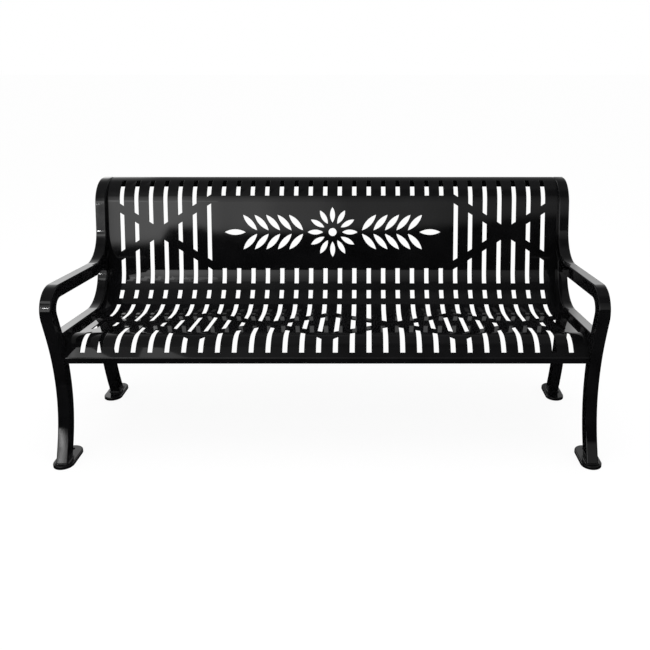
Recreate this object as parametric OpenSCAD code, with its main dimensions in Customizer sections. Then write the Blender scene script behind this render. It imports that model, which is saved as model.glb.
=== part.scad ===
// Memorial bench: one formed and slotted steel panel carried by two tubular end frames.
// X runs along the bench, Y from the front to the back, Z up. The origin is on the ground,
// under the middle of the bench's box.

/* [Panel] */
// Slots along the bench
slot_count = 30; // [24:2:36]
// Distance from one slot to the next
slot_pitch = 58; // [52:1:66]
// Width of a slot
slot_w = 17; // [12:1:22]
// Thickness of the panel's steel sheet
sheet_t = 4.5; // [3:0.5:6]
// Plain margin from the last slot's centre to the panel's end
end_margin = 59; // [50:1:80]

/* [Seat] */
// Height of the seat's front nose
seat_height = 440; // [400:5:480]
// Depth of the seat, from the nose to the corner with the back
seat_depth = 411; // [380:1:440]
// Fall of the seat towards the back, in degrees
seat_slope = 5.2; // [3:0.1:7]
// Radius of the nose
nose_r = 75; // [60:1:85]
// Length of the front face below the nose
nose_len = 79; // [72:1:100]
// Steepness of the front face, in degrees
nose_slope = 52; // [45:1:60]
// Height of the upright lip under the front face
lip_len = 20; // [14:1:26]
// Radius where the front face turns into the lip
lip_r = 8; // [6:0.5:10]

/* [Back] */
// Length of the back, from the seat corner to the top
back_len = 498; // [480:1:530]
// Lean of the back from upright, in degrees
back_lean = 10.7; // [6:0.1:14]
// Radius of the bend between the seat and the back
lumbar_r = 156; // [136:1:160]
// Radius of the roll at the top
roll_r = 100; // [80:1:105]
// Depth of the flat top, from the back's line to the rear flange
top_depth = 114; // [109:1:140]
// Radius of the rear flange's bend
flange_r = 26; // [20:1:30]
// Height of the rear flange
flange_len = 44; // [36:1:60]

/* [Pierced pattern] */
// Width of the uncut diagonal strips on the back
back_strip_w = 30; // [22:1:36]
// Width of the uncut diagonal strips on the seat
seat_strip_w = 36; // [28:1:42]
// Half height of a cross on the back
back_cross_h = 146; // [124:1:151]
// Half height of a cross on the seat
seat_cross_h = 130; // [110:1:134]
// Distance from the seat corner to the middle of the back's crosses
back_cross_at = 294; // [290:1:300]
// Distance from the nose to the middle of the seat's crosses
seat_cross_at = 145; // [140:1:149]
// Uncut front face above the lip's corner
slot_front = 20; // [14:1:28]
// First uncut band in the lumbar bend, as the sheet's slope where it starts, in degrees
low_band = 25; // [20:0.5:28]
// Second uncut band in the lumbar bend, as the sheet's slope where it starts, in degrees
high_band = 49.5; // [47:0.5:53]
// Width of the first uncut band
low_band_w = 28; // [20:1:32]
// Width of the second uncut band
high_band_w = 27; // [20:1:32]
// Slope of the roll where the slots end, in degrees
slot_top = 21; // [16:1:30]

/* [Plaque ornament] */
// Length of one leaf opening
leaf_len = 84; // [60:1:90]
// Width of one leaf opening
leaf_w = 23; // [16:1:26]
// Leaf pairs on one sprig
leaf_pairs = 5; // [3:1:5]
// Distance from one leaf pair to the next
leaf_pitch = 46; // [42:1:48]
// Lean of a leaf from its stem, in degrees
leaf_lean = 48; // [42:1:54]
// Width of the stem between the leaves of a pair
stem_w = 14; // [10:1:20]
// Distance from the plaque's middle to the sprig's first leaves
sprig_at = 118; // [110:1:124]
// Petals of the middle rosette
petals = 12; // [8:1:12]
// Reach of the rosette's petals
rosette_r = 100; // [90:1:106]
// Length of one petal opening
petal_len = 62; // [50:1:66]
// Width of one petal opening
petal_w = 20; // [14:1:22]
// Radius of the hole in the rosette's middle
rosette_eye = 16; // [8:1:20]

/* [End frames] */
// Width of the frame tube, along the bench
tube_w = 40; // [34:1:50]
// Depth of the frame tube, in the frame's own plane
tube_d = 45; // [42:1:50]
// Wall of the frame tube
tube_wall = 3; // [2:0.5:3.5]
// Corner radius of the frame tube
tube_corner = 4; // [4:0.5:7]
// Depth of the panel's surface below the tube's upper face
panel_inset = 20; // [17:1:22]
// Centre radius of the frame's top bend
crown_r = 82; // [70:1:95]
// Centre radius of the elbow between the back and the arm
elbow_r = 145; // [120:1:155]
// Centre radius of the arm's front bend
arm_bend_r = 60; // [50:1:70]
// Height of the arm's front corner, on the tube's centre line
arm_height = 619; // [595:1:645]
// Distance of the arm's front corner behind the datum
arm_front = 24; // [15:1:35]
// Fall of the arm towards the back, in degrees
arm_slope = 5.3; // [3:0.1:8]
// Bow radius of the front leg's upper part, on the tube's centre line
bow_upper_r = 730; // [650:1:740]
// Bow radius of the front leg's lower part, on the tube's centre line
bow_lower_r = 530; // [450:1:540]
// Distance of the front leg's waist behind the datum
waist = 90; // [84:1:96]
// Height of the bow's upper corner
bow_upper_z = 375; // [365:1:385]
// Height of the bow's lower corner
bow_lower_z = 160; // [150:1:170]
// Flare of the front leg at the foot, in degrees
front_flare = 24.5; // [18:0.5:27]
// Distance of the rear leg's upper part behind the datum
rear_leg_at = 494; // [480:1:505]
// Bow radius of the rear leg, on the tube's centre line
rear_bow_r = 972; // [800:1:1000]
// Height of the rear leg's bow corner
rear_bow_z = 174; // [160:1:185]
// Flare of the rear leg at the foot, in degrees
rear_flare = 21.5; // [16:0.5:24]

/* [Feet and fixings] */
// Length of a foot plate, front to back
foot_len = 142; // [125:1:170]
// Width of a foot plate
foot_w = 72; // [66:1:90]
// Thickness of a foot plate
foot_t = 12; // [8:1:16]
// Radius of a foot plate's upper edge
foot_edge = 4; // [2:0.5:5]
// Diameter of an anchor hole
anchor_d = 14; // [10:1:16]
// Distance of an anchor hole from the end of its plate
anchor_inset = 27; // [22:1:32]
// Distance that a front foot plate reaches ahead of its leg's centre
front_foot_reach = 40; // [36:1:50]
// Distance that a rear foot plate reaches behind its leg's centre
rear_foot_reach = 63; // [56:1:72]
// Thickness of the end plates welded to the panel
end_plate_t = 5; // [4:0.5:8]
// Depth of the end plates below the panel's surface
end_plate_d = 30; // [28:1:40]
// Bolt size, as the thread's diameter
bolt_d = 8; // [6:1:8]
// Distance of the bolts below the panel's surface
bolt_drop = 13; // [12.5:0.5:13.5]
// Clearance round each bolt
bolt_play = 0.5; // [0.2:0.1:0.8]
// Bolt places along the seat, from the nose
seat_bolt_at = 70; // [60:1:80]
// Distance between the bolts on the seat
seat_bolt_pitch = 88; // [75:1:92]
// Place of the bolt on the lower back, from the seat corner
low_bolt_at = 150; // [146:1:156]
// Places of the bolts on the upper back, from the seat corner
top_bolt_at = 315; // [308:1:320]
// Distance between the bolts on the upper back
top_bolt_pitch = 70; // [50:1:74]
// Thickness of the caps on the tubes' upper ends
cap_t = 3; // [2:0.5:5]
// Depth of a cap's plug inside its tube
cap_plug = 12; // [8:1:16]
// Clearance round a cap's plug
cap_play = 0.3; // [0.1:0.1:0.5]
// Straight run of the frame tube behind its top bend
crown_run = 18; // [10:1:24]

/* [Hidden] */
$fn = 96;

black = [0.035, 0.035, 0.038];
zinc = [0.62, 0.63, 0.64];
left = -1;
right = 1;
// Slots covered by one cross
cross_slots = 8;
// Cutters run this far past what they cut
over = 1;
// Bent stretches stand this far proud of the straight ones, all round
bend_swell = 0.05;
// Straight stretches run this far into the bent ones
bend_lap = 0.5;
// The tube's crown stands this far above the panel's top
crown_rise = 1;

function dir(a) = [cos(a), sin(a)];
// Corner of a bent route, shifted by d to the right of its travel
function shifted(p, a_in, a_out, d) =
    p + d / cos((a_out - a_in) / 2) * dir((a_in + a_out) / 2 - 90);
// Length that a bend of radius r takes off each side of its corner
function tangent(r, a_in, a_out) = r * tan(abs(a_out - a_in) / 2);
// Centre of the bend of radius r at corner p
function bend_centre(p, a_in, a_out, r) =
    p - tangent(r, a_in, a_out) * dir(a_in) + sign(a_out - a_in) * r * dir(a_in + 90);
function wrap(a) = a > 180 ? a - 360 : a < -180 ? a + 360 : a;
function heading(p, q) = atan2(q[1] - p[1], q[0] - p[0]);
function degrees(len, r) = len / r * 180 / PI;

// Side view of the panel's upper surface, as depth behind the datum and height.
// The datum is the depth from which the frames' places are measured.
seat_dir = -seat_slope;
back_dir = 90 - back_lean;
nose = [122, seat_height];
lip_corner = nose - nose_len * dir(nose_slope);
seat_corner = nose + seat_depth * dir(seat_dir);
top_corner = seat_corner + back_len * dir(back_dir);
flange_corner = top_corner + [top_depth, 0];
lumbar_trim = tangent(lumbar_r, seat_dir, back_dir);
roll_trim = tangent(roll_r, 0, back_dir);
lumbar_centre = seat_corner - lumbar_trim * dir(seat_dir) + lumbar_r * dir(seat_dir + 90);
roll_centre = [top_corner[0] + roll_trim, top_corner[1] - roll_r];

// Half lengths along the bench
panel_half = (slot_count - 1) / 2 * slot_pitch + end_margin;
frame_mid = panel_half + 2 * bend_swell + tube_w / 2;
frame_out = frame_mid + tube_w / 2;

// Routes of the frame tubes' centre lines
centre_drop = tube_d / 2 - panel_inset;
rail_corner = shifted(seat_corner, seat_dir, back_dir, centre_drop);
rail_bend_r = lumbar_r + centre_drop;
rail_front = rail_corner - (rail_corner[0] - waist) / cos(seat_dir) * dir(seat_dir);
arm_dir = 180 - arm_slope;
arm_corner = [arm_front, arm_height];
bow_upper = [waist, bow_upper_z];
bow_lower = [waist, bow_lower_z];
leg_dir = heading(arm_corner, bow_upper);
bow_centre = bend_centre(bow_upper, leg_dir, -90, bow_upper_r);
crown_z = top_corner[1] + crown_rise - tube_d / 2;
crown = [rail_corner[0] + (crown_z - rail_corner[1]) / tan(back_dir), crown_z];
crown_end = [crown[0] + tangent(crown_r, 0, back_dir) + crown_run, crown_z];
// The elbow, where the arm's line meets the back's line
elbow_run = ((arm_corner[0] - rail_corner[0]) * sin(arm_dir)
    - (arm_corner[1] - rail_corner[1]) * cos(arm_dir)) / sin(arm_dir - back_dir);
elbow = rail_corner + elbow_run * dir(back_dir);
elbow_trim = tangent(elbow_r, back_dir + 180, arm_dir);
elbow_centre = bend_centre(elbow, back_dir + 180, arm_dir, elbow_r);
elbow_outer = elbow_r + tube_d / 2 + bend_swell;
// The rail ends where only its rear wall is left beside the elbow
rail_end = elbow + (elbow_trim - elbow_outer * sin(acos(1 - tube_wall / elbow_outer))) * dir(back_dir);
front_foot_at = waist - (bow_lower_z - foot_t) * tan(front_flare);
rear_foot_at = rear_leg_at + (rear_bow_z - foot_t) * tan(rear_flare);

// Middles of the crosses along the bench, and half a cross
cross_half = cross_slots / 2 * slot_pitch;
plaque_half = cross_slots * slot_pitch;
plaque_low = back_cross_at - back_cross_h;
plaque_high = back_cross_at + back_cross_h;
// Slope of the roll at the plaque's upper edge
plaque_top_dir = back_dir - asin((plaque_high - back_len + roll_trim) / roll_r);
// Slopes of the lumbar bend where its uncut bands end
low_band_end = low_band + degrees(low_band_w, lumbar_r);
high_band_end = high_band + degrees(high_band_w, lumbar_r);

// The bench's box, front to back
front_end = front_foot_at - front_foot_reach;
rear_foot_end = rear_foot_at + rear_foot_reach;
rear_end = max(flange_corner[0] + bend_swell, rear_foot_end);
mid = (front_end + rear_end) / 2;

// Bolt centres in side view
seat_bolts = [for (i = [0:2])
    nose + (seat_bolt_at + i * seat_bolt_pitch) * dir(seat_dir) + bolt_drop * dir(seat_dir - 90)];
back_bolts = [for (s = [low_bolt_at, top_bolt_at, top_bolt_at + top_bolt_pitch])
    seat_corner + s * dir(back_dir) + bolt_drop * dir(back_dir - 90)];
bolts = concat(seat_bolts, back_bolts);
bolt_hole_r = bolt_d / 2 + bolt_play;
// Sizes of the fixings, each as a share of the bolt's diameter
washer_share = 0.2;
nut_share = 0.94;
head_share = 1.25;
dome_share = 0.55;
washer_t = bolt_d * washer_share;
washer_r = bolt_d;
nut_r = bolt_d * nut_share;
nut_len = bolt_d;
nut_play = 0.05;
head_r = bolt_d * head_share;
head_len = bolt_d * dome_share;
// Length of thread past a nut
thread_out = 2;

// Turns a side view, drawn as depth and height, into the bench's frame.
// What is extruded upwards in the drawing runs along the bench.
module side_view() translate([0, -mid, 0]) rotate([90, 0, 90]) children();

// One straight stretch of a section, from point p towards angle a
module straight(p, a, len) {
    translate([p[0], p[1], 0])
        rotate([0, 0, a])
            rotate([90, 0, 90])
                linear_extrude(len) children();
}

// One bend of a section at corner p, from travel angle a_in to a_out, with radius r.
// The section's x points to the left of the travel.
module bend(p, a_in, a_out, r) {
    c = bend_centre(p, a_in, a_out, r);
    left_turn = a_out > a_in;
    translate([c[0], c[1], 0])
        rotate([0, 0, left_turn ? a_in - 90 : a_out + 90])
            rotate_extrude(angle = abs(a_out - a_in))
                translate([r, 0])
                    rotate(left_turn ? 180 : 0) children();
}

// A section carried along a route of corners, with one radius for each inner corner.
// The section is symmetric along the bench and grows by $swell all round.
module route(points, radii) {
    last = len(points) - 1;
    angle = [for (i = [0:last - 1]) heading(points[i], points[i + 1])];
    after = [for (i = [1:last - 1]) angle[i - 1] + wrap(angle[i] - angle[i - 1])];
    trim = [for (i = [0:last])
        i == 0 || i == last ? 0 : tangent(radii[i - 1], angle[i - 1], after[i - 1]) - bend_lap];
    for (i = [0:last - 1]) {
        $swell = 0;
        run = norm(points[i + 1] - points[i]) - trim[i] - trim[i + 1];
        straight(points[i] + trim[i] * dir(angle[i]), angle[i], run) children();
    }
    for (i = [1:last - 1]) {
        $swell = bend_swell;
        bend(points[i], angle[i - 1], after[i - 1], radii[i - 1]) children();
    }
}

function slot_at(i) = (i - (slot_count - 1) / 2) * slot_pitch;
function behind_plaque(i) = abs(slot_at(i)) < plaque_half;

// Stations along the panel's surface, each a point and the sheet's slope there
function flat_station(p, a, s) = [p + s * dir(a), a];
function hollow_station(a) = [lumbar_centre + lumbar_r * dir(a - 90), a];
function crown_station(c, r, a) = [c + r * dir(a + 90), a];

// Side view of a stretch of the panel between two square cuts, with room round the sheet
module stretch(stations) {
    room = 3 * sheet_t;
    above = [for (s = stations) s[0] + room * dir(s[1] + 90)];
    below = [for (i = [len(stations) - 1:-1:0]) let(s = stations[i])
        s[0] - (room + sheet_t) * dir(s[1] + 90)];
    polygon(concat(above, below));
}

// Cuts the slots whose numbers are listed through a stretch of the panel
module slots(numbers, stations) {
    for (i = numbers)
        translate([0, 0, slot_at(i) - slot_w / 2]) linear_extrude(slot_w) stretch(stations);
}

// Prism square to a flat stretch of the panel, from a drawing of distance along and across.
// It is deep enough to pass through the sheet where that starts to bend away.
module through_sheet(p, a) {
    translate([p[0], p[1], 0])
        rotate([0, 0, a])
            rotate([90, 0, 0]) linear_extrude(nose_r, center = true) children();
}

// One diagonal strip of width w, from one corner of a cross to the opposite one
module strip(at, middle, half_h, w) {
    half = w / 2 / cos(atan(half_h / cross_half));
    low = middle - half_h;
    high = middle + half_h;
    a = at - cross_half;
    b = at + cross_half;
    polygon([[low - half, a], [low + half, a], [high + half, b], [high - half, b]]);
}

// Two crossed strips, with the small corners between them filled at the two middle slots
module cross(at, middle, half_h, w) {
    strip(at, middle, half_h, w);
    translate([2 * middle, 0]) mirror([1, 0]) strip(at, middle, half_h, w);
    translate([middle, at]) square([w, 2 * slot_pitch], center = true);
}

// Pointed oval opening that starts at the origin and runs along x
module leaf(len, w) {
    r = (len * len + w * w) / (4 * w);
    intersection() {
        translate([len / 2, r - w / 2]) circle(r);
        translate([len / 2, w / 2 - r]) circle(r);
    }
}

// Stem of leaf pairs that runs along x
module sprig() {
    for (i = [0:leaf_pairs - 1])
        for (s = [-1, 1])
            translate([i * leaf_pitch, s * stem_w / 2]) rotate(s * leaf_lean) leaf(leaf_len, leaf_w);
    translate([leaf_pairs * leaf_pitch, 0]) leaf(leaf_len, leaf_w);
}

module rosette() {
    circle(rosette_eye);
    for (i = [0:petals - 1])
        rotate(i * 360 / petals) translate([rosette_r - petal_len, 0]) leaf(petal_len, petal_w);
}

// Rosette in the middle of the plaque, with a sprig on each side
module ornament() {
    translate([back_cross_at, 0]) {
        rosette();
        for (s = [-90, 90]) rotate(s) translate([sprig_at, 0]) sprig();
    }
}

module sheet_section() {
    translate([-sheet_t - $swell, -panel_half - $swell])
        square([sheet_t + 2 * $swell, 2 * (panel_half + $swell)]);
}

module seat_back_panel() {
    every = [0:slot_count - 1];
    outer = [for (i = every) if (!behind_plaque(i)) i];
    inner = [for (i = every) if (behind_plaque(i)) i];
    nose_centre = bend_centre(nose, nose_slope, seat_dir, nose_r);
    nose_mid = (nose_slope + seat_dir) / 2;
    roll_mid = (plaque_top_dir + slot_top) / 2;
    seat = [
        flat_station(lip_corner, nose_slope, slot_front),
        crown_station(nose_centre, nose_r, nose_slope),
        crown_station(nose_centre, nose_r, nose_mid),
        crown_station(nose_centre, nose_r, seat_dir),
        hollow_station(seat_dir),
        hollow_station(low_band)
    ];
    hollow = [hollow_station(low_band_end), hollow_station(high_band)];
    back = [
        hollow_station(high_band_end),
        hollow_station(back_dir),
        crown_station(roll_centre, roll_r, back_dir),
        crown_station(roll_centre, roll_r, plaque_top_dir),
        crown_station(roll_centre, roll_r, roll_mid),
        crown_station(roll_centre, roll_r, slot_top)
    ];
    below_plaque = [back[0], back[1], flat_station(seat_corner, back_dir, plaque_low)];
    above_plaque = [back[3], back[4], back[5]];
    corners = [
        lip_corner - [0, lip_len], lip_corner, nose, seat_corner,
        top_corner, flange_corner, flange_corner - [0, flange_len]
    ];
    color(black)
        side_view()
            difference() {
                route(corners, [lip_r, nose_r, lumbar_r, roll_r, flange_r]) sheet_section();
                difference() {
                    slots(every, seat);
                    through_sheet(nose, seat_dir)
                        for (k = [-3, -1, 1, 3])
                            cross(k * cross_half, seat_cross_at, seat_cross_h, seat_strip_w);
                }
                slots(every, hollow);
                difference() {
                    slots(outer, back);
                    through_sheet(seat_corner, back_dir)
                        for (k = [-3, 3])
                            cross(k * cross_half, back_cross_at, back_cross_h, back_strip_w);
                }
                slots(inner, below_plaque);
                slots(inner, above_plaque);
                through_sheet(seat_corner, back_dir) ornament();
            }
}

// Bores along the bench at the bolt centres, from one place to another
module bolt_bores(r, from, to) {
    for (p = bolts) translate([p[0], p[1], from]) cylinder(r = r, h = to - from);
}

// Section of an end plate, close under the panel's sheet
module end_plate_section() {
    top = sheet_t + 2 * bend_swell;
    translate([-end_plate_d - $swell, -end_plate_t / 2 - $swell])
        square([end_plate_d - top + 2 * $swell, end_plate_t + 2 * $swell]);
}

module end_plate(side) {
    start = lip_corner + lip_r * dir(nose_slope);
    finish = [roll_centre[0] + lip_r, top_corner[1]];
    color(black)
        side_view()
            translate([0, 0, side * (panel_half - end_plate_t / 2)])
                difference() {
                    route([start, nose, seat_corner, top_corner, finish], [nose_r, lumbar_r, roll_r])
                        end_plate_section();
                    bolt_bores(bolt_hole_r, -end_plate_t, end_plate_t);
                }
}

module rounded(d, w, r) {
    square([d - 2 * r, w], center = true);
    square([d, w - 2 * r], center = true);
    for (x = [-1, 1])
        for (y = [-1, 1]) translate([x * (d / 2 - r), y * (w / 2 - r)]) circle(r);
}

module tube_section() {
    wall = tube_wall + $swell;
    difference() {
        rounded(tube_d + 2 * $swell, tube_w + 2 * $swell, tube_corner + $swell);
        rounded(tube_d - 2 * wall, tube_w - 2 * wall, tube_corner - tube_wall);
    }
}

// Everything below the top of the foot plates, in side view
module below_feet() {
    translate([front_end - tube_d, -tube_d, -tube_w])
        cube([rear_end - front_end + 2 * tube_d, tube_d + foot_t, 2 * tube_w]);
}

module frame_tube(side, points, radii) {
    color(black)
        side_view()
            translate([0, 0, side * frame_mid])
                difference() {
                    route(points, radii) tube_section();
                    below_feet();
                    bolt_bores(bolt_hole_r, -tube_w, tube_w);
                    children();
                }
}

module cope(c, r) translate([c[0], c[1], -tube_w]) cylinder(r = r, h = 2 * tube_w, $fn = 360);

module arm_tube(side) {
    foot = bow_lower + bow_lower_z / cos(front_flare) * dir(-90 - front_flare);
    frame_tube(side, [crown_end, crown, elbow, arm_corner, bow_upper, bow_lower, foot],
        [crown_r, elbow_r, arm_bend_r, bow_upper_r, bow_lower_r]);
}

module seat_rail(side) {
    frame_tube(side, [rail_front, rail_corner, rail_end], [rail_bend_r]) {
        cope(bow_centre, bow_upper_r + tube_d / 2 + bend_swell);
        cope(elbow_centre, elbow_outer);
    }
}

module rear_leg(side) {
    top = [rear_leg_at, lumbar_centre[1] - rail_bend_r / 2];
    bow = [rear_leg_at, rear_bow_z];
    foot = bow + rear_bow_z / cos(rear_flare) * dir(-90 + rear_flare);
    frame_tube(side, [top, bow, foot], [rear_bow_r]) cope(lumbar_centre, rail_bend_r + tube_d / 2 + bend_swell);
}

// Half of a foot plate's cross-section, with its upper edge rounded
module foot_profile() {
    half = foot_w / 2;
    square([half - foot_edge, foot_t]);
    square([half, foot_t - foot_edge]);
    translate([half - foot_edge, foot_t - foot_edge]) circle(foot_edge);
}

// Foot plate between two depths, with an anchor hole at one of them
module foot_plate(side, front, hole) {
    half = foot_w / 2;
    color(black)
        translate([side * frame_mid, front - mid, 0])
            difference() {
                union() {
                    for (y = [half, foot_len - half])
                        translate([0, y, 0]) rotate_extrude() foot_profile();
                    translate([0, foot_len - half, 0])
                        rotate([90, 0, 0])
                            linear_extrude(foot_len - foot_w) {
                                foot_profile();
                                mirror([1, 0]) foot_profile();
                            }
                }
                translate([0, hole, -over]) cylinder(d = anchor_d, h = foot_t + 2 * over);
            }
}

module front_foot(side) foot_plate(side, front_end, foot_len - anchor_inset);
module rear_foot(side) foot_plate(side, rear_foot_end - foot_len, anchor_inset);

module top_cap(side) {
    inner_d = tube_d - 2 * tube_wall - 2 * cap_play;
    inner_w = tube_w - 2 * tube_wall - 2 * cap_play;
    color(black)
        side_view()
            translate([0, 0, side * frame_mid]) {
                straight(crown_end, 0, cap_t) rounded(tube_d, tube_w, tube_corner);
                straight(crown_end - [cap_plug, 0], 0, cap_plug)
                    rounded(inner_d, inner_w, tube_corner - tube_wall);
            }
}

// Places what is drawn for one bolt, with its axis pointing out of the bench
module each_bolt(side) {
    side_view()
        for (p = bolts)
            translate([p[0], p[1], side * panel_half]) rotate([side > 0 ? 0 : 180, 0, 0]) children();
}

module frame_bolts(side) {
    shank_in = end_plate_t + washer_t + nut_len + thread_out;
    shank_out = frame_out - panel_half;
    head_sphere = (head_r * head_r + head_len * head_len) / (2 * head_len);
    color(zinc)
        each_bolt(side) {
            translate([0, 0, -shank_in]) cylinder(d = bolt_d, h = shank_in + shank_out + over);
            translate([0, 0, shank_out])
                rotate_extrude()
                    intersection() {
                        square([head_r, head_len]);
                        translate([0, head_len - head_sphere]) circle(head_sphere);
                    }
        }
}

module lock_nuts(side) {
    color(zinc)
        each_bolt(side)
            translate([0, 0, -end_plate_t - washer_t - nut_len])
                difference() {
                    cylinder(r = nut_r, h = nut_len, $fn = 6);
                    translate([0, 0, -over]) cylinder(r = bolt_d / 2 + nut_play, h = nut_len + 2 * over);
                }
}

module washers(side) {
    color(zinc)
        each_bolt(side)
            translate([0, 0, -end_plate_t - washer_t])
                difference() {
                    cylinder(r = washer_r, h = washer_t);
                    translate([0, 0, -over]) cylinder(r = bolt_hole_r, h = washer_t + 2 * over);
                }
}

seat_back_panel();
end_plate(left);  // end_plate_left
end_plate(right);  // end_plate_right
arm_tube(left);  // arm_tube_left
arm_tube(right);  // arm_tube_right
seat_rail(left);  // seat_rail_left
seat_rail(right);  // seat_rail_right
rear_leg(left);  // rear_leg_left
rear_leg(right);  // rear_leg_right
front_foot(left);  // front_foot_left
front_foot(right);  // front_foot_right
rear_foot(left);  // rear_foot_left
rear_foot(right);  // rear_foot_right
top_cap(left);  // top_cap_left
top_cap(right);  // top_cap_right
frame_bolts(left);  // frame_bolts_left
frame_bolts(right);  // frame_bolts_right
lock_nuts(left);  // lock_nuts_left
lock_nuts(right);  // lock_nuts_right
washers(left);  // washers_left
washers(right);  // washers_right
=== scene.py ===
"""Looks, lights and camera for the memorial bench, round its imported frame."""
import math

import bmesh
import bpy
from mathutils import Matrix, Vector


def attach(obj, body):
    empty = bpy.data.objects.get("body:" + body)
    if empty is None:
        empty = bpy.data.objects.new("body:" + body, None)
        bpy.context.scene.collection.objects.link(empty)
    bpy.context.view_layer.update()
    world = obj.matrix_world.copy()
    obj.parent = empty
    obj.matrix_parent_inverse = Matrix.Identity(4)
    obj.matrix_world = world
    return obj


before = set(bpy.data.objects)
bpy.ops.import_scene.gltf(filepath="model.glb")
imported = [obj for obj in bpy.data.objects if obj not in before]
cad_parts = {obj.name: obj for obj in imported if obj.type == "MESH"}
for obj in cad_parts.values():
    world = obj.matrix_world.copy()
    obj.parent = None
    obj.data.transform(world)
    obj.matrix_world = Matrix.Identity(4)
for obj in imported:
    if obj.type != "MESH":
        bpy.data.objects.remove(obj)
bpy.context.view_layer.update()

# A millimetre in metres
MM = 0.001

# The bench's own sizes in millimetres, as in the part's source to a few thousandths. A place in its
# side view is a depth behind the datum and a height, and a direction there is an angle up from level,
# in degrees.
# Depth of the middle of the bench's box
MID = 360.187
# Middle of an end frame, from the bench's middle
FRAME_MID = 920.1
# Frame tube: width along the bench, depth in side view, radius of its outer corners
TUBE_W = 40
TUBE_D = 45
TUBE_CORNER = 4
# Top of the foot plates
FOOT_TOP = 12
# Panel: the nose, the corner where the seat's line meets the back's, the sheet's thickness
NOSE = (122, 440)
SEAT_CORNER = (531.308, 402.75)
SHEET = 4.5
# Directions of the seat and of the back
SEAT_DIR = -5.2
BACK_DIR = 79.3
# Seat rail's centre line: the corner of its two straight lines, and the radius of its bend
RAIL_CORNER = (533.343, 400.054)
RAIL_R = 158.5
# Centre of the lumbar bend, which the panel and the rail share
LUMBAR = (404.329, 570.951)
# Centre of the front leg's upper bow, and the radius of its rear wall
BOW = (-640.0, 278.013)
BOW_R = 752.5
# Centre of the elbow between back and arm, and the radius of its outer wall
ELBOW = (447.247, 725.359)
ELBOW_R = 167.5
# Each leg's centre line at its foot plate's top: its depth, and its direction
FRONT_FOOT = (22.553, 65.5)
REAR_FOOT = (557.813, 111.5)
# A point below the rear leg's upright top, on the line of its middle carried down
REAR_LEG_LINE = (494, 300)
# Inner face of an end plate, from the bench's middle
PLATE_INNER = 895

# Radii of the weld beads at the feet, at the joints of the tubes and along the panel
FOOT_BEAD = 3.8
TUBE_BEAD = 2.6
PANEL_BEAD = 2.4
# Sides of a bead's section, height of its ripples as a share of its radius, and their pitch
BEAD_SIDES = 10
RIPPLE = 0.07
RIPPLE_PITCH = 3.2
# An open bead narrows over this many rings at each end, to the square root of this share
END_RINGS = 3
END_SHARE = 0.08
# A direction shorter than this counts as none
NO_LENGTH = 0.001
# A foot's bead runs this far outside its tube, and this far above its plate
BEAD_OUT = 1.2
BEAD_UP = 0.8
# Steps round each corner of a tube's outline, spacing of the points along the outline, and spacing
# of the points along a short bead
CORNER_STEPS = 12
OUTLINE_STEP = 1.0
RUN_STEP = 1.2
# Short beads under the panel: their length, and their middles along the seat and along the back
RUN = 42
SEAT_RUNS = (70, 128, 186, 244)
BACK_RUNS = (170, 238, 306, 374)
# Filled corner under a rail's front end: its size, and how far it reaches into the tubes there and
# stays inside their sides
GUSSET = 15
TUCK = 1

SIDES = (("left", -1), ("right", 1))

# Powder coat: its darker and lighter tone, its least and most roughness, and in metres the height of
# its orange peel and the radius that its edges seem rounded by
COAT_TONES = ((0.0022, 0.0022, 0.0024), (0.0042, 0.0042, 0.0046))
COAT_ROUGHNESS = (0.03, 0.06)
COAT_PEEL = 0.000004
COAT_EDGE = 0.0016
# Zinc plate: its darker and lighter tone, its least and most roughness
ZINC_TONES = ((0.42, 0.43, 0.45), (0.62, 0.63, 0.64))
ZINC_ROUGHNESS = (0.22, 0.42)
# Each noise's lumps per metre, and its detail
COAT_TONE_NOISE = (9, 3)
COAT_ROUGHNESS_NOISE = (22, 4)
COAT_PEEL_NOISE = (330, 2)
ZINC_TONE_NOISE = (140, 4)
ZINC_ROUGHNESS_NOISE = (220, 3)

# The camera, found from the photograph's vanishing lines. The photograph is a square of 650 pixels.
# Its principal point is counted from the left and from the top, and the camera's place is in metres.
PHOTO_PX = 650
FOCAL_PX = 700
PRINCIPAL_PX = (367, 250)
# Distance of the horizon above the principal point
HORIZON_PX = 200
CAMERA_AT = (0.138, -2.130 - MID * MM, 1.393)

# Studio sizes in metres: the floor and the hall reach this far, the hall's middle is this high, and
# the card that the coat mirrors as a dark floor lies just above the white one
FLOOR_REACH = 40
HALL_REACH = 9.0
HALL_MIDDLE = 0.6
CARD_HEIGHT = 0.0004
# Share of the floor's white that it gives by itself, so that the rest can hold the shadow
WHITE_SHARE = 0.88

# Softboxes: name, place, what it faces, width and height, all in metres, and brightness, where 1 is
# white. The fill only lights, and the others show in the gloss as well.
FILL = ("overhead fill", (0, -0.2, 3.2), (0, 0, 0), 4.0, 3.0, 1.6)
GLOSS_LAMPS = (
    ("front_left", (-2.17, -2.95, 1.38), (-0.92, 0, 0.6), 0.022, 0.09, 90),
    ("near_left", (-1.2, -0.946, 1.145), (-0.7, -0.29, 0.39), 0.46, 0.147, 1.3),
    ("near_middle", (-0.85, -0.946, 1.145), (-0.5, -0.29, 0.39), 0.24, 0.147, 0.8),
)

# The hall that the coat mirrors. Its brightness goes by the angle in degrees, from the front horizon
# up and over to the back one. Each stop is an angle and a brightness. The whole row is shifted so
# that its bright part, which starts at BRIGHT_FROM here, starts at HALL_RIM.
BRIGHT_FROM = 8.3
HALL = ((0, 0.0), (BRIGHT_FROM, 0.0), (8.45, 0.5), (14, 0.5), (24, 0.36), (33, 0.25), (37, 0.23),
        (38.5, 0.085), (50, 0.075), (66, 0.04), (90, 0.03), (118, 0.025), (150, 0.05), (165, 0.07),
        (180, 0.07))
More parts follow.
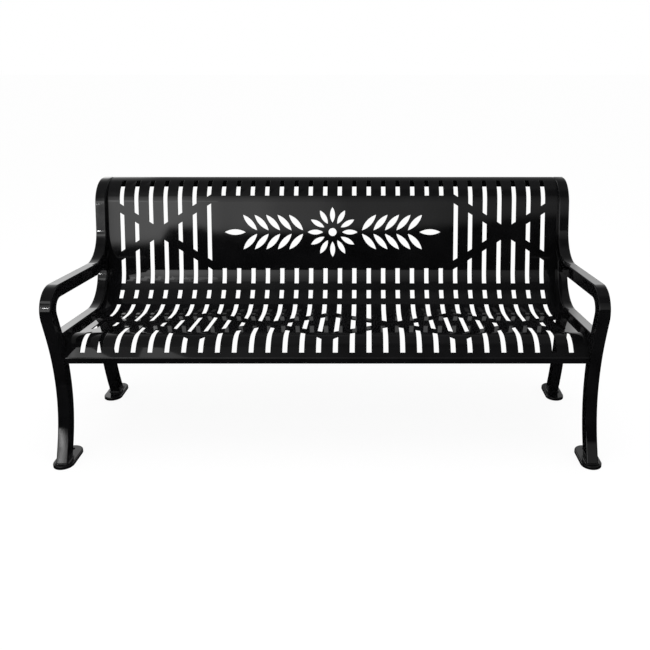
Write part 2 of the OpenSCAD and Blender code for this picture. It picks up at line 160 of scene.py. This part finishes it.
# A share of that for its front, by the side, from -1 at the left to 1 at the right
HALL_SIDES = ((-1.0, 0.4), (-0.6, 0.7), (-0.489, 0.85), (-0.4605, 0.85), (-0.4545, 0.4), (-0.4425, 0.4),
              (-0.436, 0.9), (-0.34, 1.0), (-0.3, 0.85), (-0.25, 0.62), (-0.19, 0.66), (-0.15, 0.48),
              (-0.08, 0.42), (-0.02, 0.25), (0.1, 0.25), (0.2, 0.17), (1.0, 0.15))
# The front's share is gone above the first of these angles, in degrees, and full below the second
HALL_FADE = (81, 63)
# Height of the front's lower rim by the side, in degrees
HALL_RIM = ((-1.0, 0.0), (-0.461, 0.0), (-0.45, 6.5), (-0.36, 6.85), (-0.345, 8.5), (-0.29, 8.5),
            (-0.27, 7.9), (-0.07, 7.95), (0.14, 8.5), (0.22, 8.95), (0.31, 9.75), (1.0, 10.5))
# Brightness added behind the bench by the angle, and a share of it by the side
HALL_BACK = ((60, 0.0), (105, 0.01), (125, 0.03), (135, 0.1), (147, 0.15), (154, 0.22), (163, 0.42),
             (168.5, 0.47), (170.5, 0.32), (173, 0.235), (180, 0.2))
HALL_BACK_SIDES = ((-1.0, 1.0), (-0.43, 1.0), (-0.41, 0.5), (-0.37, 0.35), (-0.34, 0.0), (0.345, 0.0),
                   (0.358, 0.26), (0.372, 0.3), (0.38, 0.68), (1.0, 0.68))
# All of that is brightened by this
HALL_GAIN = 4.0
# The narrow part that the left front leg mirrors has ramps of its own, because one over the whole
# width is too coarse for it. These are its sides, what its streak adds to the front's share from one
# side to the other, the gain of that, and the degrees by which its rim rises.
STREAK_SIDES = (-0.4685, -0.4565)
STREAK = ((0.0, 0.0), (0.12, 0.1), (0.24, 1.0), (0.4, 0.8), (0.62, 0.1), (1.0, 0.0))
STREAK_GAIN = 3.6
STREAK_RISE = ((0.0, 0.0), (0.3, 1.0), (0.5, 4.0), (0.95, 9.0), (1.0, 0.0))


def both(name):
    """A node's names on the left and on the right."""
    return [name + "_left", name + "_right"]


def node_tree(material):
    """The material's nodes and links, with only its output left in."""
    material.use_nodes = True
    tree = material.node_tree
    for node in list(tree.nodes):
        if node.type != "OUTPUT_MATERIAL":
            tree.nodes.remove(node)
    return tree, tree.nodes[0]


def noise(tree, scale, detail):
    """Noise in object space, so its scale is in lumps per metre."""
    where = tree.nodes.new("ShaderNodeTexCoord")
    node = tree.nodes.new("ShaderNodeTexNoise")
    node.inputs["Scale"].default_value = scale
    node.inputs["Detail"].default_value = detail
    tree.links.new(where.outputs["Object"], node.inputs["Vector"])
    return node.outputs["Fac"]


def remap(tree, value, low, high, start=0.3, end=0.7):
    """The value's range from start to end, spread from low to high. Noise stays mostly in 0.3 to 0.7."""
    node = tree.nodes.new("ShaderNodeMapRange")
    node.inputs["From Min"].default_value = start
    node.inputs["From Max"].default_value = end
    node.inputs["To Min"].default_value = low
    node.inputs["To Max"].default_value = high
    tree.links.new(value, node.inputs["Value"])
    return node.outputs["Result"]


def two_tone(tree, value, dark, light):
    """A colour between two, by the value."""
    node = tree.nodes.new("ShaderNodeMix")
    node.data_type = "RGBA"
    node.inputs["A"].default_value = (*dark, 1)
    node.inputs["B"].default_value = (*light, 1)
    tree.links.new(value, node.inputs["Factor"])
    return node.outputs["Result"]


def math_node(tree, operation, *values):
    """A Math node of sockets and numbers."""
    node = tree.nodes.new("ShaderNodeMath")
    node.operation = operation
    for socket, value in zip(node.inputs, values):
        if isinstance(value, (int, float)):
            socket.default_value = value
        else:
            tree.links.new(value, socket)
    return node.outputs[0]


def ramp(tree, value, stops):
    """A value read from stops of place and height, with straight lines between them."""
    node = tree.nodes.new("ShaderNodeValToRGB")
    elements = node.color_ramp.elements
    elements.remove(elements[1])
    elements[0].position = stops[0][0]
    elements[0].color = (*[stops[0][1]] * 3, 1)
    for at, height in stops[1:]:
        elements.new(at).color = (*[height] * 3, 1)
    tree.links.new(value, node.inputs["Fac"])
    return node.outputs["Color"]


def rounded_edges(tree, radius):
    """Normals that turn smoothly round each edge, as a coated edge does."""
    node = tree.nodes.new("ShaderNodeBevel")
    node.samples = 6
    node.inputs["Radius"].default_value = radius
    return node.outputs["Normal"]


def bump(tree, height, distance, normal):
    """Normals pushed about by a height, by up to a distance in metres."""
    node = tree.nodes.new("ShaderNodeBump")
    node.inputs["Strength"].default_value = 1.0
    node.inputs["Distance"].default_value = distance
    tree.links.new(height, node.inputs["Height"])
    tree.links.new(normal, node.inputs["Normal"])
    return node.outputs["Normal"]


def powder_coat(name):
    """Gloss black powder coat: deep black, with the faint orange peel of a baked coat."""
    material = bpy.data.materials.new(name)
    tree, out = node_tree(material)
    shader = tree.nodes.new("ShaderNodeBsdfPrincipled")
    links = tree.links
    tone = remap(tree, noise(tree, *COAT_TONE_NOISE), 0, 1)
    links.new(two_tone(tree, tone, *COAT_TONES), shader.inputs["Base Color"])
    rough = remap(tree, noise(tree, *COAT_ROUGHNESS_NOISE), *COAT_ROUGHNESS)
    links.new(rough, shader.inputs["Roughness"])
    peel = bump(tree, noise(tree, *COAT_PEEL_NOISE), COAT_PEEL, rounded_edges(tree, COAT_EDGE))
    links.new(peel, shader.inputs["Normal"])
    shader.inputs["IOR"].default_value = 1.5
    shader.inputs["Specular IOR Level"].default_value = 0.5
    links.new(shader.outputs["BSDF"], out.inputs["Surface"])
    return material


def zinc_plate(name):
    """Bright zinc plate, dulled in patches."""
    material = bpy.data.materials.new(name)
    tree, out = node_tree(material)
    shader = tree.nodes.new("ShaderNodeBsdfPrincipled")
    links = tree.links
    tone = remap(tree, noise(tree, *ZINC_TONE_NOISE), 0, 1)
    links.new(two_tone(tree, tone, *ZINC_TONES), shader.inputs["Base Color"])
    rough = remap(tree, noise(tree, *ZINC_ROUGHNESS_NOISE), *ZINC_ROUGHNESS)
    links.new(rough, shader.inputs["Roughness"])
    shader.inputs["Metallic"].default_value = 1.0
    links.new(shader.outputs["BSDF"], out.inputs["Surface"])
    return material


def studio_white(name):
    """White to the camera, to metal and to glass, with the object's shadow kept."""
    material = bpy.data.materials.new(name)
    tree, out = node_tree(material)
    links = tree.links
    path = tree.nodes.new("ShaderNodeLightPath")
    seen = math_node(tree, "MAXIMUM", path.outputs["Is Camera Ray"], path.outputs["Is Glossy Ray"])
    seen = math_node(tree, "MAXIMUM", seen, path.outputs["Is Transmission Ray"])
    share = math_node(tree, "MULTIPLY", seen, WHITE_SHARE)
    matt = tree.nodes.new("ShaderNodeBsdfDiffuse")
    matt.inputs["Color"].default_value = (0.9, 0.9, 0.9, 1)
    glow = tree.nodes.new("ShaderNodeEmission")
    glow.inputs["Color"].default_value = (1, 1, 1, 1)
    glow.inputs["Strength"].default_value = 1.0
    mixed = tree.nodes.new("ShaderNodeMixShader")
    links.new(share, mixed.inputs["Fac"])
    links.new(matt.outputs["BSDF"], mixed.inputs[1])
    links.new(glow.outputs["Emission"], mixed.inputs[2])
    links.new(mixed.outputs["Shader"], out.inputs["Surface"])
    material.cycles.emission_sampling = "NONE"
    return material


def black_card(name):
    """Matt black card."""
    material = bpy.data.materials.new(name)
    tree, out = node_tree(material)
    matt = tree.nodes.new("ShaderNodeBsdfDiffuse")
    matt.inputs["Color"].default_value = (0.002, 0.002, 0.002, 1)
    tree.links.new(matt.outputs["BSDF"], out.inputs["Surface"])
    return material


def half_turns(degrees):
    """An angle as a share of the half turn from the front horizon over to the back one."""
    return degrees / 180


def by_angle(stops):
    """Stops placed by angle, for a ramp over the half turn."""
    return [(half_turns(angle), value) for angle, value in stops]


def by_side(stops):
    """Stops placed by side, from -1 to 1, for a ramp over the whole width."""
    return [((side + 1) / 2, value) for side, value in stops]


def to_angles(stops):
    """Stops whose values are angles, for a ramp that gives half turns."""
    return [(at, half_turns(angle)) for at, angle in stops]


def hall_walls(name):
    """Emission of the hall round the studio, drawn by direction from the bench."""
    material = bpy.data.materials.new(name)
    tree, out = node_tree(material)
    links = tree.links
    where = tree.nodes.new("ShaderNodeTexCoord")
    unit = tree.nodes.new("ShaderNodeVectorMath")
    unit.operation = "NORMALIZE"
    links.new(where.outputs["Object"], unit.inputs[0])
    axes = tree.nodes.new("ShaderNodeSeparateXYZ")
    links.new(unit.outputs["Vector"], axes.inputs[0])
    x, y, z = axes.outputs
    front = math_node(tree, "MULTIPLY", y, -1.0)
    angle = math_node(tree, "ARCTAN2", z, front)
    angle = math_node(tree, "MULTIPLY", angle, 1 / math.pi)
    half = math_node(tree, "MULTIPLY_ADD", x, 0.5, 0.5)
    narrow = remap(tree, x, 0, 1, *STREAK_SIDES)
    rim = ramp(tree, half, to_angles(by_side(HALL_RIM)))
    rim = math_node(tree, "ADD", rim, ramp(tree, narrow, to_angles(STREAK_RISE)))
    above_rim = math_node(tree, "SUBTRACT", angle, rim)
    shifted = math_node(tree, "ADD", above_rim, half_turns(BRIGHT_FROM))
    bright = ramp(tree, shifted, by_angle(HALL))
    side = ramp(tree, half, by_side(HALL_SIDES))
    side = math_node(tree, "MULTIPLY_ADD", ramp(tree, narrow, STREAK), STREAK_GAIN, side)
    in_front = remap(tree, angle, 0, 1, *[half_turns(degrees) for degrees in HALL_FADE])
    share = math_node(tree, "MULTIPLY_ADD", in_front, math_node(tree, "SUBTRACT", side, 1.0), 1.0)
    back = ramp(tree, angle, by_angle(HALL_BACK))
    ends = ramp(tree, half, by_side(HALL_BACK_SIDES))
    level = math_node(tree, "MULTIPLY_ADD", back, ends, math_node(tree, "MULTIPLY", bright, share))
    level = math_node(tree, "MULTIPLY", level, HALL_GAIN)
    glow = tree.nodes.new("ShaderNodeEmission")
    links.new(level, glow.inputs["Strength"])
    links.new(glow.outputs["Emission"], out.inputs["Surface"])
    material.cycles.emission_sampling = "NONE"
    return material


def new_object(name, mesh):
    """A mesh's object, linked into the scene."""
    obj = bpy.data.objects.new(name, mesh)
    bpy.context.collection.objects.link(obj)
    return obj


def sheet(name, reach, z, material):
    """A level square sheet round the bench."""
    mesh = bpy.data.meshes.new(name)
    corners = [(-reach, -reach, z), (reach, -reach, z), (reach, reach, z), (-reach, reach, z)]
    mesh.from_pydata(corners, [], [(0, 1, 2, 3)])
    mesh.materials.append(material)
    obj = new_object(name, mesh)
    return obj


def hall():
    """The dim hall and the dark floor card that the coat mirrors. The camera sees neither."""
    mesh = bpy.data.meshes.new("hall")
    shell = bmesh.new()
    bmesh.ops.create_uvsphere(shell, u_segments=96, v_segments=64, radius=HALL_REACH)
    shell.to_mesh(mesh)
    shell.free()
    mesh.materials.append(hall_walls("hall walls"))
    dome = new_object("hall", mesh)
    dome.location = (0, 0, HALL_MIDDLE)
    dome.visible_camera = False
    dome.visible_diffuse = False
    dome.visible_shadow = False
    card = sheet("black floor card", HALL_REACH, CARD_HEIGHT, black_card("black card"))
    card.visible_camera = False
    card.visible_diffuse = False
    card.visible_shadow = False


def softbox(name, at, aim, width, height, radiance, in_gloss=True):
    """A rectangular softbox that shows in the coat as bright as radiance, where 1 is white."""
    lamp = bpy.data.lights.new(name, "AREA")
    lamp.shape = "RECTANGLE"
    lamp.size = width
    lamp.size_y = height
    lamp.energy = radiance * math.pi * width * height
    obj = bpy.data.objects.new(name, lamp)
    obj.location = at
    obj.rotation_euler = (Vector(aim) - Vector(at)).to_track_quat("-Z", "Y").to_euler()
    obj.visible_camera = False
    obj.visible_glossy = in_gloss
    bpy.context.collection.objects.link(obj)


def studio():
    """White floor and surroundings, softboxes, and the dim hall that the gloss shows."""
    world = bpy.data.worlds.new("studio")
    bpy.context.scene.world = world
    world.use_nodes = True
    back = world.node_tree.nodes["Background"]
    back.inputs["Color"].default_value = (1, 1, 1, 1)
    back.inputs["Strength"].default_value = 1.0
    sheet("floor", FLOOR_REACH, 0, studio_white("floor white"))
    hall()
    softbox(*FILL, in_gloss=False)
    for lamp in GLOSS_LAMPS:
        softbox(*lamp)


def camera():
    """The photograph's camera."""
    data = bpy.data.cameras.new("camera")
    data.sensor_width = 36
    data.lens = data.sensor_width * FOCAL_PX / PHOTO_PX
    data.shift_x = (PHOTO_PX / 2 - PRINCIPAL_PX[0]) / PHOTO_PX
    data.shift_y = (PRINCIPAL_PX[1] - PHOTO_PX / 2) / PHOTO_PX
    obj = bpy.data.objects.new("camera", data)
    obj.location = CAMERA_AT
    obj.rotation_euler = (math.pi / 2 - math.atan(HORIZON_PX / FOCAL_PX), 0, 0)
    bpy.context.collection.objects.link(obj)
    bpy.context.scene.camera = obj


def place(side, across, depth, height):
    """A point of the bench from its side view, with across measured from the end frame's middle."""
    return Vector(((side * FRAME_MID + across) * MM, (depth - MID) * MM, height * MM))


def direction(angle):
    """The unit vector in side view that points up from level by an angle in degrees."""
    return Vector((math.cos(math.radians(angle)), math.sin(math.radians(angle))))


def section_loop(grow):
    """The outline of the frame tube, grown all round, as pairs of across and rise."""
    half_w = TUBE_W / 2 + grow
    half_d = TUBE_D / 2 + grow
    radius = TUBE_CORNER + grow
    points = []
    corners = ((1, 1, 0), (-1, 1, 90), (-1, -1, 180), (1, -1, 270))
    for sx, sy, start in corners:
        for k in range(CORNER_STEPS + 1):
            angle = math.radians(start + 90 * k / CORNER_STEPS)
            across = sx * (half_w - radius) + radius * math.cos(angle)
            rise = sy * (half_d - radius) + radius * math.sin(angle)
            points.append(Vector((across, rise)))
    return spread(points, OUTLINE_STEP, closed=True)


def spread(points, spacing, closed=False):
    """Points at even spacing along a broken line."""
    line = list(points)
    if closed:
        line.append(line[0])
    lengths = [0.0]
    for a, b in zip(line, line[1:]):
        lengths.append(lengths[-1] + (b - a).length)
    count = max(2, round(lengths[-1] / spacing))
    out = []
    k = 0
    for i in range(count if closed else count + 1):
        at = lengths[-1] * i / count
        while k < len(line) - 2 and lengths[k + 1] < at:
            k += 1
        span = lengths[k + 1] - lengths[k]
        t = (at - lengths[k]) / span if span else 0
        out.append(line[k].lerp(line[k + 1], t))
    return out


def to_level(height):
    """Distance along a ray in side view to a level line."""
    return lambda p, d: (height - p[1]) / d[1]


def to_circle(centre, radius):
    """Distance along a ray in side view to where it first meets a circle, or comes nearest to it."""
    def distance(p, d):
        gap = p - Vector(centre)
        b = gap.dot(d)
        return -b - math.sqrt(max(0.0, b * b - gap.dot(gap) + radius * radius))
    return distance


def weld_path(side, origin, angle, reach, loop):
    """A tube section's outline carried along its axis until it meets what it is welded to."""
    along = direction(angle)
    up = direction(angle + 90)
    path = []
    for across, rise in loop:
        start = Vector(origin) + up * rise
        met = start + along * reach(start, along)
        path.append(place(side, across, met[0], met[1]))
    return path


def add_bead(mesh, path, radius, closed):
    """Adds a weld bead along a path, with the ripples of its run. An open one narrows at its ends."""
    count = len(path)
    middle = sum(path, Vector()) / count
    turns = [2 * math.pi * k / BEAD_SIDES for k in range(BEAD_SIDES)]
    run = 0.0
    rings = []
    for i, point in enumerate(path):
        before = path[i - 1] if closed or i else path[0]
        after = path[(i + 1) % count] if closed or i < count - 1 else path[-1]
        if i:
            run += (point - path[i - 1]).length
        travel = (after - before).normalized()
        out = point - middle
        out -= travel * out.dot(travel)
        if out.length < NO_LENGTH * MM:
            out = travel.orthogonal()
        out.normalize()
        other = travel.cross(out)
        size = radius * (1 + RIPPLE * math.sin(2 * math.pi * run / (RIPPLE_PITCH * MM)))
        if not closed:
            ends = min(i, count - 1 - i) / END_RINGS
            size *= math.sqrt(max(END_SHARE, 1 - max(0.0, 1 - ends) ** 2))
        ring = [point + size * (math.cos(turn) * out + math.sin(turn) * other) for turn in turns]
        rings.append([mesh.verts.new(corner) for corner in ring])
    pairs = list(zip(rings, rings[1:]))
    if closed:
        pairs.append((rings[-1], rings[0]))
    for a, b in pairs:
        for k in range(BEAD_SIDES):
            n = (k + 1) % BEAD_SIDES
            mesh.faces.new((a[k], b[k], b[n], a[n]))
    if not closed:
        mesh.faces.new(rings[0])
        mesh.faces.new(rings[-1][::-1])


def gusset(name, side, material):
    """The small filled corner under the front end of a seat rail, behind the leg."""
    along = direction(SEAT_DIR + 180)
    start = Vector(RAIL_CORNER) - direction(SEAT_DIR + 90) * TUBE_D / 2
    met = start + along * to_circle(BOW, BOW_R)(start, along)
    down = (Vector(BOW) - met).orthogonal().normalized()
    down *= -1 if down[1] > 0 else 1
    corners = [met + Vector((-TUCK, TUCK)), met - along * GUSSET, met + down * GUSSET + Vector((-TUCK, 0))]
    half = TUBE_W / 2 - TUCK
    verts = [place(side, x, p[0], p[1]) for x in (-half, half) for p in corners]
    data = bpy.data.meshes.new(name)
    data.from_pydata(verts, [], [(0, 1, 2), (5, 4, 3), (0, 3, 4, 1), (1, 4, 5, 2), (2, 5, 3, 0)])
    mesh = bmesh.new()
    mesh.from_mesh(data)
    bmesh.ops.recalc_face_normals(mesh, faces=mesh.faces)
    mesh.to_mesh(data)
    mesh.free()
    data.materials.append(material)
    obj = new_object(name, data)
    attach(obj, "root")


def weld(name, runs, material):
    """One piece of weld beads. Each run is a path, a radius and whether the path is closed."""
    mesh = bmesh.new()
    for path, radius, closed in runs:
        add_bead(mesh, path, radius * MM, closed)
    bmesh.ops.recalc_face_normals(mesh, faces=mesh.faces)
    data = bpy.data.meshes.new(name)
    mesh.to_mesh(data)
    mesh.free()
    for face in data.polygons:
        face.use_smooth = True
    data.materials.append(material)
    obj = new_object(name, data)
    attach(obj, "root")


def welds(coat):
    """The beads that join the tubes, the foot plates and the panel, and the filled corners."""
    outside = section_loop(BEAD_OUT)
    seam = section_loop(0)
    over_plate = to_level(FOOT_TOP + BEAD_UP)
    under_rail = to_circle(LUMBAR, RAIL_R + TUBE_D / 2)
    behind_leg = to_circle(BOW, BOW_R)
    under_arm = to_circle(ELBOW, ELBOW_R)
    for name, side in SIDES:
        for foot, (at, angle) in (("front", FRONT_FOOT), ("rear", REAR_FOOT)):
            path = weld_path(side, (at, FOOT_TOP), angle, over_plate, outside)
            weld(foot + "_foot_weld_" + name, [(path, FOOT_BEAD, True)], coat)
        path = weld_path(side, REAR_LEG_LINE, 90, under_rail, seam)
        weld("rear_leg_weld_" + name, [(path, TUBE_BEAD, True)], coat)
        path = weld_path(side, RAIL_CORNER, SEAT_DIR + 180, behind_leg, seam)
        weld("rail_front_weld_" + name, [(path, TUBE_BEAD, True)], coat)
        gusset("rail_gusset_" + name, side, coat)
        path = weld_path(side, RAIL_CORNER, BACK_DIR, under_arm, open_front(seam))
        weld("rail_top_weld_" + name, [(path, TUBE_BEAD, False)], coat)
        runs = [(run, PANEL_BEAD, False) for run in panel_runs(side)]
        weld("panel_weld_" + name, runs, coat)


def open_front(loop):
    """The part of a tube's outline that goes round its front wall, from one side to the other."""
    rear = -TUBE_D / 2 + TUBE_CORNER
    first = next(i for i, p in enumerate(loop) if p[1] > rear and loop[i - 1][1] <= rear)
    turned = loop[first:] + loop[:first]
    return [p for p in turned if p[1] > rear]


def panel_runs(side):
    """Paths of the short beads in the corner between the panel's sheet and an end plate."""
    runs = []
    across = side * (PLATE_INNER - FRAME_MID)
    for start, angle, places in ((NOSE, SEAT_DIR, SEAT_RUNS), (SEAT_CORNER, BACK_DIR, BACK_RUNS)):
        inner = Vector(start) + direction(angle - 90) * SHEET
        for at in places:
            ends = [inner + direction(angle) * (at + d * RUN / 2) for d in (-1, 1)]
            runs.append(spread([place(side, across, p[0], p[1]) for p in ends], RUN_STEP * MM))
    return runs


def dress(names, material):
    """Gives CAD nodes a material."""
    for name in names:
        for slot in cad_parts[name].material_slots:
            slot.material = material


def looks():
    """Every CAD node's material, and the pieces added to them."""
    coat = powder_coat("black powder coat")
    dress(["seat_back_panel"], coat)
    for name in ("arm_tube", "seat_rail", "rear_leg", "end_plate", "top_cap", "front_foot", "rear_foot"):
        dress(both(name), coat)
    zinc = zinc_plate("zinc plate")
    for name in ("frame_bolts", "lock_nuts", "washers"):
        dress(both(name), zinc)
    welds(coat)


bpy.context.scene.view_settings.view_transform = "Standard"
looks()
studio()
camera()
